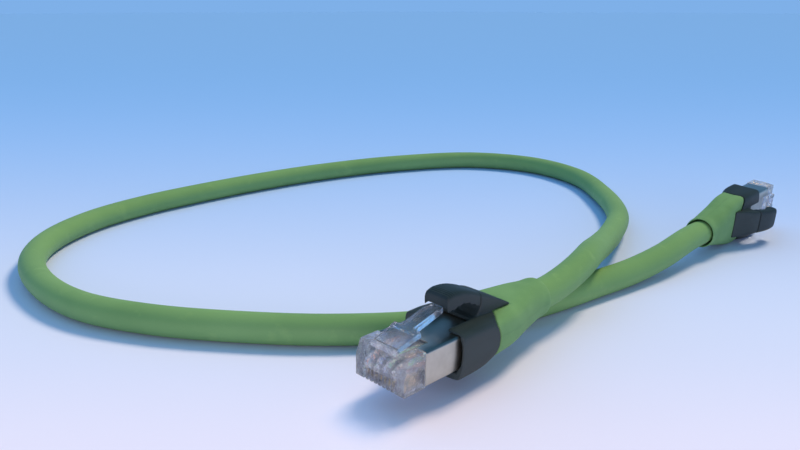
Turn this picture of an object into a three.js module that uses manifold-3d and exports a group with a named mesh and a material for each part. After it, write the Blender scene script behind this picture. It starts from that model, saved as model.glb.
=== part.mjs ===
// Shielded ethernet patch cable: one loop of round cable with an 8-position modular plug at each end.
// Millimetres, +Z up. The cable lies on z = 0, and the two plugs point out along -X and +X.
// Each plug is built in its own frame: +X out of the nose, +Y to the side, +Z to the latch side,
// with the origin on the nose, in the middle of its lower edge.
import * as THREE from 'three';
import { mergeVertices } from 'three/addons/utils/BufferGeometryUtils.js';
import Module from 'manifold-3d';

const wasm = await Module();
wasm.setup();

// ---------------------------------------------------------------- clearances
const seatGap = 0.3;          // between outer mouldings that meet face to face
const fitGap = 0.14;          // between a part and the pocket or bore that holds it
const overcut = 1;            // how far a cutter runs past the face it opens

// ---------------------------------------------------------------- cable
const cableDiameter = 6.5;
const cableSides = 12;
const cableSteps = 60;
const stripX = -30;           // where the jacket ends inside the boot
const coreDiameter = cableDiameter - 1.5; // screened bundle of four pairs under the jacket

// ---------------------------------------------------------------- clear body
const plugWidth = 11.68;
const plugHeight = 6.6;
const cableAxisHeight = plugHeight * 0.53; // cable centre above the plug's lower face
const noseLength = 5.2;       // full-width front that stands out of the shield
const bodyLength = 20;
const noseLean = 1.0;         // how far the front face leans back at its upper edge
const noseLeanLow = plugHeight * 0.52; // below this height the front face is upright
const noseChamfer = 0.45;
const noseLowerChamfer = 0.6;
const noseCorner = 0.3;      // bevel of the two upright front corners
const shieldWall = 0.35;
const shieldTail = 0.2;       // the shield stands past the body at the rear
const shieldBend = 0.55;      // rounding of the shield's four long edges
const latchWindowRearX = -8.3;
const latchWindowGap = 0.4;
const contactWindowRearX = -7.6;
const contactWindowMargin = 0.63;
const positions = 8;
const pitch = 1.016;
const slotWidth = 0.58;
const slotMouthHeight = 2.35; // height of the contact slots on the front face
const slotMouthDepth = 0.4;   // how far the open mouth runs back past the contact's front
const wireRowLow = plugHeight * 0.44; // the eight wires sit in two staggered rows
const wireRowHigh = plugHeight * 0.62;
const wireDiameter = 0.92;
const wireTunnelStart = -12;  // where the wire tunnels open into the rear cavity
const wireEndX = -1.6;
const cavitySideWall = 0.5;
const cavityLow = 1.15;
const cavityHigh = plugHeight - 0.85;

// ---------------------------------------------------------------- contacts
const contactThickness = 0.34;
const contactFrontX = -0.75;
const contactRearX = -5.0;
const contactFaceZ = 0.55;    // the contact face lies a little inside the lower face
const contactProng = 0.35;    // height of the points that bite into the wire
const contactNoseRadius = 0.55;

// ---------------------------------------------------------------- latch
const latchRootX = -1.5;
const latchRootZ = plugHeight + 0.35;
const latchRise = 13.8 * (Math.PI / 180);
const latchLength = 13.2;
const latchThickness = 0.95;
const latchShoulderWidth = 6.2;
const latchShoulderLength = 5.4;
const latchTailWidth = 4.0;
const latchTailTaper = 0.2;
const latchRecessDepth = 0.6; // pocket under the latch's shoulders
const latchRecessGap = 0.25;
const latchRailWidth = 0.5;   // two raised rails along the tail
const latchRailHeight = 0.35;
const latchStepLength = 1.1;  // raised step at the shoulders, which catches in the jack
const latchStepHeight = 0.15;

// ---------------------------------------------------------------- hood
const sideSpread = 0.16;      // moves a squarish section's points away from the middle of its sides
const hoodFrontX = -12.2;
const hoodHalfWidth = plugWidth / 2 + fitGap + 0.97;
const hoodBelly = 1.5;        // thickness under the shield
const hoodRoof = 0.66;
const hoodEdge = 0.35;        // rounding of the front edge
const hoodScoop = 1.15;       // how far the middle of each side's front edge lies back
const hoodLip = 1.2;          // width of the bevel along that edge
const ridgeRise = 1.9;        // the roof rises to a ridge on each side of the latch slot
const ridgeHalfWidth = 3.4;
const hoodRearX = -22.2;      // rear edge at the corners; the middle of each side reaches further back
const hoodSideBulge = 1.6;
const hoodTopBulge = 1.2;
const hoodFloor = 0.4;        // thickness under the crimp barrel
const latchSlotHalfWidth = 3.2;
const latchSlotRearX = -19.5;

// ---------------------------------------------------------------- press lever and its bridge
const leverFrontX = -13.8;
const leverFrontHalfWidth = 2.8;
const bridgeRearX = -30.4;
const bridgeRearHalfWidth = 3.8;
const hingeX = -22.35;
const latchClearance = 0.2;   // between the latch's tip and the lever over it
const padThickness = 2.1;
const leverRibs = 4;
const leverRibPitch = 0.8;
const leverRibWidth = 0.5;
const leverRibHeight = 0.15;
const leverRibRearX = -17;
// Side view of the bridge: x, and height above the hood's top face.
const bridgeFront = [[-20.6, -0.35], [-21.8, 0.6], [-22.45, 1.9]];
const bridgeRear = [
  [-26.6, 2.45], [-28.7, 1.3], [bridgeRearX, 0.45], [bridgeRearX, -0.05], [-25.4, -0.05], [-24.6, -0.35],
];
// Side views of the lever's back and of the arch under it: x, and height above the pad's lower face.
const leverBack = [[-20.2, 1.4], [-18.6, 1.85], [-17.3, padThickness]];
const leverArch = [[-15.9, 0.05], [-16.7, 0.35], [-18.1, 0.5], [-19.4, 0.2], [-20.9, -0.7]];

// ---------------------------------------------------------------- boot
const bootEndX = -44.6;
const bootEndRadius = cableDiameter / 2 + 0.85;
const bootTailX = -41.5;        // from here to the end the boot is almost round
const bootClearance = 0.2;    // between the bore and the cable
const bootMouthFlare = 0.45;  // the bore opens out round the cable over its last stretch
const bootMouthLength = 2.5;

// ---------------------------------------------------------------- crimp barrel, wire guide
const barrelFrontX = -20.5;
const barrelRearX = -28.4;
const barrelWall = 0.38;
const coreLead = 0.25;        // how far the core stands out in front of the barrel
const bundlePitch = 0.52;     // wires side by side as they leave the core
const bundleHalfHeight = 0.76;
const bundleLead = 0.5;
const guideLead = 0.5;
const guideFrontX = -12.4;
const guideLength = 4;

// ---------------------------------------------------------------- colours and finishes
const jacketGreen = { color: 0x6fa35a, roughness: 0.55, metalness: 0 };
const bootGreen = { color: 0x74a862, roughness: 0.6, metalness: 0 };
const hoodBlack = { color: 0x15161a, roughness: 0.42, metalness: 0 };
const clearPlastic = { color: 0xdfe3ec, roughness: 0.12, metalness: 0, transparent: true, opacity: 0.45 };
const guideWhite = { color: 0xe8e8e4, roughness: 0.4, metalness: 0 };
const shieldNickel = { color: 0xc9c6c1, roughness: 0.28, metalness: 1 };
const contactGold = { color: 0xd9b253, roughness: 0.25, metalness: 1 };
const foilSilver = { color: 0xb9bdc2, roughness: 0.35, metalness: 1 };
const wireColours = [0xe8b98c, 0xd9772b, 0xb9d8ae, 0x2f63b5, 0xa9bfe0, 0x3f9550, 0xc9ab93, 0x7a4a2c];

// ---------------------------------------------------------------- where the plugs and the cable lie
const plugPoses = {
  a: { nose: [-82.5, 2, 4.8], yaw: 180, pitch: -0.4, roll: -1.5 },
  b: { nose: [81.8, 4.3, 8.15], yaw: 0, pitch: 1.9, roll: 94.5 },
};

// The cable's centre between the two boots, chosen by hand: up over itself just behind plug a,
// round the far side, along the left, and back under plug a's boot to plug b.
const cableRoute = [
  [-27.2, 2.4, 9.15], [-21.4, 3.15, 9.8], [-15.6, 4.5, 10.15], [-8, 7.2, 9.75], [3.5, 11.6, 7.9],
  [22, 18.9, 5.6], [45, 29.7, 4.2], [67.5, 47.8, 3.5], [88, 72, 3.25], [94.3, 97.7, 3.25],
  [84.5, 121.9, 3.25], [56.2, 139, 3.25], [23.3, 147.9, 3.25], [-3.4, 150.6, 3.25], [-28.8, 150.4, 3.25],
  [-50, 148.3, 3.25], [-71, 142, 3.25], [-88, 130.1, 3.25], [-98.2, 115, 3.25], [-102.7, 95, 3.25],
  [-101.6, 76, 3.25], [-94.6, 59, 3.25], [-83.5, 42.5, 3.25], [-71, 28, 3.25], [-56, 15.9, 3.25],
  [-41.7, 9.8, 3.25], [-26, 6.2, 3.25], [-10, 4.1, 3.25], [3, 2.3, 3.5], [16, 1, 4.6],
];

// ---------------------------------------------------------------- solids
function toSolid(geometry) {
  const bare = geometry.index ? geometry.clone() : geometry;
  bare.deleteAttribute('normal');
  bare.deleteAttribute('uv');
  const merged = mergeVertices(bare, 1e-4);
  const vertProperties = new Float32Array(merged.attributes.position.array);
  const triVerts = new Uint32Array(merged.index.array);
  return new wasm.Manifold(new wasm.Mesh({ numProp: 3, vertProperties, triVerts }));
}

function toGeometry(solid) {
  const mesh = solid.getMesh();
  const geometry = new THREE.BufferGeometry();
  geometry.setAttribute('position', new THREE.BufferAttribute(new Float32Array(mesh.vertProperties), 3));
  geometry.setIndex(new THREE.BufferAttribute(new Uint32Array(mesh.triVerts), 1));
  geometry.computeVertexNormals();
  return geometry;
}

function cut(solid, ...cutters) {
  return cutters.reduce((left, cutter) => left.subtract(cutter), solid);
}

function block(xLow, xHigh, yLow, yHigh, zLow, zHigh) {
  const box = new THREE.BoxGeometry(xHigh - xLow, yHigh - yLow, zHigh - zLow);
  box.translate((xLow + xHigh) / 2, (yLow + yHigh) / 2, (zLow + zHigh) / 2);
  return toSolid(box);
}

// A side view in x and z, as thick as its width along y.
function sideProfile(points, yLow, yHigh) {
  const shape = new THREE.Shape(points.map(([x, z]) => new THREE.Vector2(x, z)));
  const prism = new THREE.ExtrudeGeometry(shape, { depth: yHigh - yLow, bevelEnabled: false });
  prism.rotateX(Math.PI / 2);
  prism.translate(0, yHigh, 0);
  return prism;
}

// A plan view in x and y, standing from zLow to zHigh.
function planProfile(points, zLow, zHigh) {
  const shape = new THREE.Shape(points.map(([x, y]) => new THREE.Vector2(x, y)));
  const prism = new THREE.ExtrudeGeometry(shape, { depth: zHigh - zLow, bevelEnabled: false });
  prism.translate(0, 0, zLow);
  return prism;
}

function rod(xLow, xHigh, radius, y, z, sides) {
  const cylinder = new THREE.CylinderGeometry(radius, radius, xHigh - xLow, sides);
  cylinder.rotateZ(Math.PI / 2);
  cylinder.rotateX(Math.PI / sides);
  cylinder.translate((xLow + xHigh) / 2, y, z);
  return cylinder;
}

// A round tube along a smooth curve through the points.
function tube(points, diameter, sides, steps) {
  const curve = new THREE.CatmullRomCurve3(points, false, 'centripetal');
  const corners = [];
  for (let i = 0; i < sides; i += 1) {
    const angle = ((i + 0.5) / sides) * Math.PI * 2;
    corners.push(new THREE.Vector2(Math.cos(angle), Math.sin(angle)).multiplyScalar(diameter / 2));
  }
  return new THREE.ExtrudeGeometry(new THREE.Shape(corners), { steps, extrudePath: curve });
}

// One cross-section: a rounded rectangle that turns into a circle as its squareness falls to 2.
// xAt takes the point's share across (-1 to 1) and up (-1 to 1).
function sectionRing(xAt, halfWidth, low, high, squareness, count = 48) {
  const middle = (low + high) / 2;
  const halfHeight = (high - low) / 2;
  const power = 2 / squareness;
  const ring = [];
  for (let i = 0; i < count; i += 1) {
    const even = (i / count) * Math.PI * 2;
    const angle = even - (Math.sin(even * 4) * sideSpread * (squareness - 2)) / 4;
    const across = Math.sign(Math.cos(angle)) * Math.abs(Math.cos(angle)) ** power;
    const rise = Math.sign(Math.sin(angle)) * Math.abs(Math.sin(angle)) ** power;
    ring.push([xAt(across, rise), across * halfWidth, rise * halfHeight + middle]);
  }
  return ring;
}

// A closed body through rings of equal count, listed from the front to the rear.
function loft(rings) {
  const count = rings[0].length;
  const positionsOut = rings.flat(2);
  const faces = [];
  for (let r = 0; r + 1 < rings.length; r += 1) {
    for (let i = 0; i < count; i += 1) {
      const j = (i + 1) % count;
      const front = r * count;
      const rear = front + count;
      faces.push(front + i, rear + j, front + j, front + i, rear + i, rear + j);
    }
  }
  const ends = [[rings[0], 0, true], [rings.at(-1), (rings.length - 1) * count, false]];
  for (const [ring, start, facesFront] of ends) {
    const centre = positionsOut.length / 3;
    for (const axis of [0, 1, 2]) {
      positionsOut.push(ring.reduce((sum, point) => sum + point[axis], 0) / count);
    }
    for (let i = 0; i < count; i += 1) {
      const j = (i + 1) % count;
      faces.push(...(facesFront ? [centre, start + i, start + j] : [centre, start + j, start + i]));
    }
  }
  const geometry = new THREE.BufferGeometry();
  geometry.setAttribute('position', new THREE.BufferAttribute(new Float32Array(positionsOut), 3));
  geometry.setIndex(faces);
  return toSolid(geometry);
}

// ---------------------------------------------------------------- shared positions
const shieldFrontX = -(noseLength + fitGap);
const wireY = (i) => (i - (positions - 1) / 2) * pitch;
const wireZ = (i) => (i % 2 ? wireRowHigh : wireRowLow);
const contactTopZ = (i) => wireZ(i) - wireDiameter / 2 - fitGap;
const bodyHalfWidth = plugWidth / 2 - shieldWall - fitGap;
const cavityHalfWidth = bodyHalfWidth - cavitySideWall;
const bodyLow = shieldWall + fitGap;
const bodyHigh = plugHeight - shieldWall - fitGap;
const barrelInner = coreDiameter / 2 + fitGap;
const barrelOuter = barrelInner + barrelWall;
const coreFrontX = barrelFrontX + coreLead;
const rearRoomLow = cableAxisHeight - barrelOuter - fitGap - 0.04;
const rearRoomHigh = Math.max(plugHeight, cableAxisHeight + barrelOuter) + fitGap;
const rearRoomHalfWidth = bodyHalfWidth + 0.05;
const hoodRearLow = rearRoomLow - hoodFloor;
const hoodHigh = rearRoomHigh + hoodRoof;
const latchTipZ = latchRootZ + latchLength * Math.sin(latchRise);
const padLowZ = latchTipZ + (latchThickness / 2) * Math.cos(latchRise) + latchClearance;
const raised = (points, base) => points.map(([x, height]) => [x, base + height]);

// The seam between hood and boot reaches back in the middle of each side and of the roof.
function seamX(across, rise) {
  const sides = hoodSideBulge * (1 - rise ** 2) * across ** 2;
  const top = hoodTopBulge * (1 - across ** 2) * Math.max(0, rise) ** 2;
  return hoodRearX - sides - top;
}

// The front edge is scooped: it lies back in the middle of each side and comes forward below.
function hoodFrontEdge(across, rise) {
  return hoodFrontX - hoodScoop * (1 - Math.max(0, -rise) ** 2) * across ** 4;
}

function leverHalfWidth(x) {
  const share = (leverFrontX - x) / (leverFrontX - bridgeRearX);
  return leverFrontHalfWidth + (bridgeRearHalfWidth - leverFrontHalfWidth) * share;
}

// Narrows a prism of unit half-width to the lever's taper, plus a clearance for the pocket round it.
function taperToLever(geometry, clearance = 0) {
  const position = geometry.attributes.position;
  for (let i = 0; i < position.count; i += 1) {
    position.setY(i, position.getY(i) * (leverHalfWidth(position.getX(i)) + clearance));
  }
  return geometry;
}

// ---------------------------------------------------------------- clear body
function clearBody() {
  const halfWidth = plugWidth / 2;
  const noseSide = [
    [0, noseLowerChamfer], [0, noseLeanLow], [-noseLean, plugHeight - noseChamfer],
    [-noseLean - noseChamfer, plugHeight], [-noseLength, plugHeight], [-noseLength, 0],
    [-noseLowerChamfer, 0],
  ];
  const nosePlan = [
    [0, -halfWidth + noseCorner], [0, halfWidth - noseCorner], [-noseCorner, halfWidth],
    [-noseLength, halfWidth], [-noseLength, -halfWidth], [-noseCorner, -halfWidth],
  ];
  const nose = toSolid(sideProfile(noseSide, -halfWidth, halfWidth))
    .intersect(toSolid(planProfile(nosePlan, -overcut, plugHeight + overcut)));
  const rear = block(-bodyLength, -noseLength + 0.01, -bodyHalfWidth, bodyHalfWidth, bodyLow, bodyHigh);
  const cavity = block(
    -bodyLength - overcut, wireTunnelStart, -cavityHalfWidth, cavityHalfWidth, cavityLow, cavityHigh);
  const recessHalfWidth = latchShoulderWidth / 2 + latchRecessGap;
  const latchRecess = block(
    -noseLength - 0.05, latchRootX - 0.1, -recessHalfWidth, recessHalfWidth,
    plugHeight - latchRecessDepth, plugHeight + overcut);
  const latchRoot = toSolid(sideProfile(
    [[latchRootX + 0.55, plugHeight - 0.4], [latchRootX + 0.55, plugHeight + 0.3],
      [latchRootX + 0.4, plugHeight + 0.6], [latchRootX + 0.15, plugHeight + 0.7],
      [latchRootX + 0.15, plugHeight - 0.4]],
    -latchShoulderWidth / 2, latchShoulderWidth / 2));
  let body = nose.add(rear).add(latchRoot);
  body = cut(body, cavity, latchRecess);
  for (let i = 0; i < positions; i += 1) {
    const yLow = wireY(i) - slotWidth / 2;
    const yHigh = wireY(i) + slotWidth / 2;
    const mouth = block(contactFrontX - slotMouthDepth, overcut, yLow, yHigh, -overcut, slotMouthHeight);
    const well = block(
      contactRearX - fitGap, contactFrontX + fitGap, yLow, yHigh, -overcut, contactTopZ(i) + fitGap);
    const tunnel = toSolid(rod(
      wireTunnelStart - 0.5, wireEndX + fitGap, wireDiameter / 2 + fitGap, wireY(i), wireZ(i), 8));
    body = cut(body, mouth, well, tunnel);
  }
  return body;
}

// ---------------------------------------------------------------- latch tab
function latchTab() {
  const wide = latchShoulderWidth / 2;
  const tail = latchTailWidth / 2;
  const taper = latchTailTaper;
  const shoulder = -latchShoulderLength;
  const plan = [
    [0, -wide + taper], [0, wide - taper], [shoulder + 0.6, wide], [shoulder, wide], [shoulder, tail],
    [-latchLength + 0.5, tail - taper], [-latchLength, tail - 0.7],
    [-latchLength, -tail + 0.7], [-latchLength + 0.5, -tail + taper],
    [shoulder, -tail], [shoulder, -wide], [shoulder + 0.6, -wide],
  ];
  const face = latchThickness / 2;
  let tab = toSolid(planProfile(plan, -face, face));
  const railMiddle = tail - taper - latchRailWidth / 2;
  for (const y of [-railMiddle, railMiddle]) {
    tab = tab.add(block(
      -latchLength + 1.6, shoulder - 0.2, y - latchRailWidth / 2, y + latchRailWidth / 2,
      0, face + latchRailHeight));
  }
  tab = tab.add(block(shoulder, shoulder + latchStepLength, -wide, wide, 0, face + latchStepHeight));
  const geometry = toGeometry(tab);
  geometry.rotateY(latchRise);
  geometry.translate(latchRootX - 0.12, 0, latchRootZ);
  return toSolid(geometry);
}

// ---------------------------------------------------------------- contacts and wires
function contactBlade(i) {
  const top = contactTopZ(i);
  const nose = [];
  const radius = contactNoseRadius;
  for (let step = 0; step <= 4; step += 1) {
    const angle = (Math.PI / 8) * step;
    const x = contactFrontX - radius * (1 - Math.cos(angle));
    nose.push([x, contactFaceZ + radius * (1 - Math.sin(angle))]);
  }
  const middle = (contactFrontX + contactRearX) / 2;
  const profile = [
    ...nose, [contactRearX, contactFaceZ], [contactRearX, top], [contactRearX + 0.45, top],
    [contactRearX + 0.75, top - contactProng], [middle - 0.3, top - contactProng], [middle, top],
    [middle + 0.45, top], [middle + 0.75, top - contactProng], [contactFrontX - 0.1, slotMouthHeight - 0.3],
    [contactFrontX, slotMouthHeight - 0.45],
  ];
  const half = contactThickness / 2;
  return toSolid(sideProfile(profile.reverse(), wireY(i) - half, wireY(i) + half));
}

function conductor(i) {
  const startY = (i - (positions - 1) / 2) * bundlePitch;
  const startZ = cableAxisHeight + (i % 2 ? bundleHalfHeight : -bundleHalfHeight);
  const guideRearX = guideFrontX - guideLength;
  const path = [
    new THREE.Vector3(coreFrontX + seatGap, startY, startZ),
    new THREE.Vector3(coreFrontX + bundleLead, startY, startZ),
    new THREE.Vector3(guideRearX - guideLead, wireY(i), wireZ(i)),
    new THREE.Vector3(guideRearX, wireY(i), wireZ(i)),
    new THREE.Vector3(guideFrontX, wireY(i), wireZ(i)),
    new THREE.Vector3(wireEndX, wireY(i), wireZ(i)),
  ];
  return toSolid(polyTube(path, wireDiameter / 2, 6));
}

// A tube through the points themselves, bent at each one, for wires that run straight in between.
function polyTube(path, radius, sides) {
  const positionsOut = [];
  const faces = [];
  for (const point of path) {
    for (let i = 0; i < sides; i += 1) {
      const angle = ((i + 0.5) / sides) * Math.PI * 2;
      positionsOut.push(point.x, point.y + radius * Math.cos(angle), point.z + radius * Math.sin(angle));
    }
  }
  for (let r = 0; r + 1 < path.length; r += 1) {
    for (let i = 0; i < sides; i += 1) {
      const j = (i + 1) % sides;
      const a = r * sides;
      const b = a + sides;
      faces.push(a + i, b + j, b + i, a + i, a + j, b + j);
    }
  }
  const last = (path.length - 1) * sides;
  for (let i = 1; i + 1 < sides; i += 1) {
    faces.push(0, i + 1, i, last, last + i, last + i + 1);
  }
  const geometry = new THREE.BufferGeometry();
  geometry.setAttribute('position', new THREE.BufferAttribute(new Float32Array(positionsOut), 3));
  geometry.setIndex(faces);
  return geometry;
}

function wireGuide() {
  const rearX = guideFrontX - guideLength;
  const halfWidth = cavityHalfWidth - fitGap;
  const holeRadius = wireDiameter / 2 + fitGap;
  let guide = block(rearX, guideFrontX, -halfWidth, halfWidth, cavityLow + fitGap, cavityHigh - fitGap);
  for (let i = 0; i < positions; i += 1) {
    const hole = rod(rearX - overcut, guideFrontX + overcut, holeRadius, wireY(i), wireZ(i), 8);
    guide = cut(guide, toSolid(hole));
  }
  return guide;
}

// ---------------------------------------------------------------- metal shield and crimp barrel
function shieldShell() {
  const halfWidth = plugWidth / 2;
  const shell = roundedBox(-bodyLength - shieldTail, shieldFrontX, halfWidth, 0, plugHeight, shieldBend);
  const inside = roundedBox(
    -bodyLength - overcut, overcut, halfWidth - shieldWall, shieldWall, plugHeight - shieldWall,
    shieldBend - shieldWall);
  const latchHalf = latchShoulderWidth / 2 + latchWindowGap;
  const latchWindow = block(
    latchWindowRearX, overcut, -latchHalf, latchHalf, plugHeight / 2, plugHeight + overcut);
  const contactHalf = (positions * pitch) / 2 + contactWindowMargin;
  const contactWindow = block(
    contactWindowRearX, overcut, -contactHalf, contactHalf, -overcut, plugHeight / 2);
  return cut(shell, inside, latchWindow, contactWindow);
}

// A box whose four long edges are rounded.
function roundedBox(xLow, xHigh, halfWidth, low, high, radius) {
  const outline = [];
  const corners = [[1, 1], [-1, 1], [-1, -1], [1, -1]];
  corners.forEach(([side, up], quarter) => {
    const y = side * (halfWidth - radius);
    const z = (low + high) / 2 + up * ((high - low) / 2 - radius);
    for (let step = 0; step <= 4; step += 1) {
      const angle = ((quarter + step / 4) * Math.PI) / 2;
      outline.push([y + radius * Math.cos(angle), z + radius * Math.sin(angle)]);
    }
  });
  const shape = new THREE.Shape(outline.map(([y, z]) => new THREE.Vector2(y, z)));
  const prism = new THREE.ExtrudeGeometry(shape, { depth: xHigh - xLow, bevelEnabled: false });
  prism.rotateX(Math.PI / 2);
  prism.rotateZ(Math.PI / 2);
  prism.translate(xLow, 0, 0);
  return toSolid(prism);
}

function crimpBarrel() {
  const outer = toSolid(rod(barrelRearX, barrelFrontX, barrelOuter, 0, cableAxisHeight, 20));
  const bore = toSolid(rod(
    barrelRearX - overcut, barrelFrontX + overcut, barrelInner, 0, cableAxisHeight, 20));
  return cut(outer, bore);
}

function screenedCore() {
  const rearX = stripX + seatGap;
  return toSolid(rod(rearX, coreFrontX, coreDiameter / 2, 0, cableAxisHeight, 16));
}

// ---------------------------------------------------------------- hood
function hoodShell() {
  const low = -fitGap - hoodBelly;
  const lipX = (across, rise) => {
    const bevel = hoodLip * (1 - Math.max(0, -rise)) * across ** 4;
    return hoodFrontEdge(across, rise) - hoodEdge - bevel;
  };
  return loft([
    sectionRing(hoodFrontEdge, hoodHalfWidth - 0.5, low + hoodEdge, hoodHigh - hoodEdge, 6),
    sectionRing(lipX, hoodHalfWidth, low, hoodHigh, 6.5),
    sectionRing(() => -17, hoodHalfWidth + 0.12, low + 0.1, hoodHigh, 6.5),
    sectionRing(() => -20.3, hoodHalfWidth + 0.05, Math.min(low + 0.55, hoodRearLow), hoodHigh, 6.2),
    sectionRing(seamX, hoodHalfWidth - 0.05, hoodRearLow, hoodHigh, 6),
  ]);
}

// The raised part of the roof: sloping sides, a flat ridge, and a fall towards the rear.
function hoodRidge() {
  const stations = [
    [hoodFrontX - hoodScoop + 0.1, 0.35], [hoodFrontX - hoodScoop - 0.5, 0.85], [-15.5, 1],
    [-18.5, 1], [-20.6, 0.6], [-22.1, 0.05],
  ];
  const foot = hoodHalfWidth - 0.45;
  const ridgeShoulder = (foot + ridgeHalfWidth) / 2;
  return loft(stations.map(([x, share]) => {
    const top = hoodHigh + ridgeRise * share;
    const shoulder = ridgeRise * share * 0.7;
    return [
      [foot, hoodHigh - 0.6], [foot, hoodHigh - 0.35], [foot - 0.5, hoodHigh],
      [ridgeShoulder, hoodHigh + shoulder], [ridgeHalfWidth + 0.35, top - 0.1 * share],
      [ridgeHalfWidth - 0.1, top], [-ridgeHalfWidth + 0.1, top],
      [-ridgeHalfWidth - 0.35, top - 0.1 * share], [-ridgeShoulder, hoodHigh + shoulder],
      [-foot + 0.5, hoodHigh], [-foot, hoodHigh - 0.35], [-foot, hoodHigh - 0.6],
    ].map(([y, z]) => [x, y, z]);
  }));
}

function hood() {
  const insideHalf = plugWidth / 2 + fitGap;
  const inside = block(
    -bodyLength - shieldTail - seatGap, hoodFrontX + overcut, -insideHalf, insideHalf,
    -fitGap, plugHeight + fitGap);
  const rearRoom = block(
    bridgeRearX, -bodyLength, -rearRoomHalfWidth, rearRoomHalfWidth, rearRoomLow, rearRoomHigh);
  const latchSlot = block(
    latchSlotRearX, hoodFrontX + overcut, -latchSlotHalfWidth, latchSlotHalfWidth,
    plugHeight / 2, hoodHigh + ridgeRise + overcut);
  const bridgeFace = hingeX - seatGap / 2;
  const outline = [
    ...raised(bridgeFront, hoodHigh), [bridgeFace, padLowZ - 1], [bridgeFace, padLowZ + 0.65],
    [-24.3, padLowZ + 0.15], ...raised(bridgeRear, hoodHigh),
  ];
  const bridge = toSolid(taperToLever(sideProfile(outline.reverse(), -1, 1)));
  const shell = hoodShell().add(hoodRidge());
  return cut(shell, inside, rearRoom, latchSlot).add(bridge.subtract(rearRoom));
}

// ---------------------------------------------------------------- press lever
function pressLever() {
  const rear = hingeX + seatGap / 2;
  const ribs = [];
  for (let i = 0; i < leverRibs; i += 1) {
    const x = leverRibRearX + i * leverRibPitch;
    const crest = padThickness + leverRibHeight;
    const end = x + leverRibWidth;
    ribs.push([x, padThickness], [x + 0.1, crest], [end - 0.1, crest], [end, padThickness]);
  }
  const outline = [
    [rear, -1.45], [rear, 0.75], ...leverBack, ...ribs,
    [leverFrontX - 0.6, padThickness - 0.2], [leverFrontX, padThickness - 0.75],
    [leverFrontX, 0.2], [leverFrontX - 0.2, 0], ...leverArch,
  ];
  return toSolid(taperToLever(sideProfile(raised(outline, padLowZ).reverse(), -1, 1)));
}

// ---------------------------------------------------------------- boot
function boot() {
  const axis = cableAxisHeight;
  const endLow = axis - bootEndRadius;
  const endHigh = axis + bootEndRadius;
  const shell = loft([
    sectionRing((across, rise) => seamX(across, rise) - seatGap, hoodHalfWidth - 0.05, hoodRearLow, hoodHigh, 6),
    sectionRing(() => -27.6, hoodHalfWidth - 0.1, hoodRearLow - 0.1, hoodHigh + 0.2, 4.6),
    sectionRing(() => -30.6, hoodHalfWidth - 0.4, hoodRearLow - 0.25, hoodHigh + 0.35, 3.8),
    sectionRing(() => -34, bootEndRadius + 1.7, endLow + 0.03, endHigh + 0.2, 3.1),
    sectionRing(() => -38, bootEndRadius + 0.8, endLow - 0.05, endHigh + 0.15, 2.6),
    sectionRing(() => bootTailX, bootEndRadius + 0.2, endLow, endHigh, 2.2),
    sectionRing(() => bootEndX + 0.5, bootEndRadius, endLow, endHigh, 2),
    sectionRing(() => bootEndX, bootEndRadius - 0.3, endLow + 0.3, endHigh - 0.3, 2),
  ]);
  const frontBore = toSolid(rod(stripX, -bodyLength, barrelOuter + fitGap, 0, axis, 24));
  const boreRadius = cableDiameter / 2 + bootClearance;
  const rearBore = toSolid(rod(bootEndX - overcut, stripX + seatGap, boreRadius, 0, axis, 24));
  const mouth = new THREE.CylinderGeometry(boreRadius, boreRadius + bootMouthFlare, bootMouthLength, 24);
  mouth.rotateZ(-Math.PI / 2);
  mouth.translate(bootEndX + bootMouthLength / 2, 0, axis);
  const pocketRear = bridgeRearX - seatGap;
  const pocketOutline = raised([
    [pocketRear, -0.35], [-bodyLength, -0.35], [-bodyLength, 1.6], [pocketRear, 1.6],
  ], hoodHigh);
  const pocket = toSolid(taperToLever(sideProfile(pocketOutline, -1, 1), seatGap));
  return cut(shell, rearBore, toSolid(mouth), frontBore, pocket);
}

// ---------------------------------------------------------------- assembly
const cable = new THREE.Group();

function addMesh(parent, name, solid, finish) {
  const mesh = new THREE.Mesh(toGeometry(solid), new THREE.MeshStandardMaterial(finish));
  mesh.name = name;
  parent.add(mesh);
}

const plugParts = [
  ['clear_body', clearBody(), clearPlastic],
  ['latch_tab', latchTab(), clearPlastic],
  ['wire_guide', wireGuide(), guideWhite],
  ['shield', shieldShell(), shieldNickel],
  ['crimp_barrel', crimpBarrel(), shieldNickel],
  ['screened_core', screenedCore(), foilSilver],
  ['hood', hood(), hoodBlack],
  ['press_lever', pressLever(), hoodBlack],
  ['boot', boot(), bootGreen],
];
for (let i = 0; i < positions; i += 1) {
  plugParts.push([`contact_${i + 1}`, contactBlade(i), contactGold]);
  plugParts.push([`conductor_${i + 1}`, conductor(i), { ...jacketGreen, color: wireColours[i] }]);
}

const plugGroups = {};
for (const [side, pose] of Object.entries(plugPoses)) {
  const group = new THREE.Group();
  group.position.set(...pose.nose);
  const radians = [pose.roll, -pose.pitch, pose.yaw].map(THREE.MathUtils.degToRad);
  group.rotation.set(...radians, 'ZYX');
  for (const [name, solid, finish] of plugParts) {
    addMesh(group, `plug_${side}_${name}`, solid, finish);
  }
  group.updateMatrixWorld(true);
  plugGroups[side] = group;
  cable.add(group);
}

// The jacket runs from its stripped end in one boot to the other, straight on each plug's axis.
function onAxis(side, x) {
  return new THREE.Vector3(x, 0, cableAxisHeight).applyMatrix4(plugGroups[side].matrixWorld);
}

const route = [
  ...[stripX, -38, bootEndX, bootEndX - 4].map((x) => onAxis('a', x)),
  ...cableRoute.map((point) => new THREE.Vector3(...point)),
  ...[bootEndX - 7, bootEndX, -38, stripX].map((x) => onAxis('b', x)),
];
addMesh(cable, 'cable_jacket', toSolid(tube(route, cableDiameter, cableSides, cableSteps)), jacketGreen);

export default cable;
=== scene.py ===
import math

import bpy
import numpy as np
from mathutils import Matrix, Vector


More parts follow.
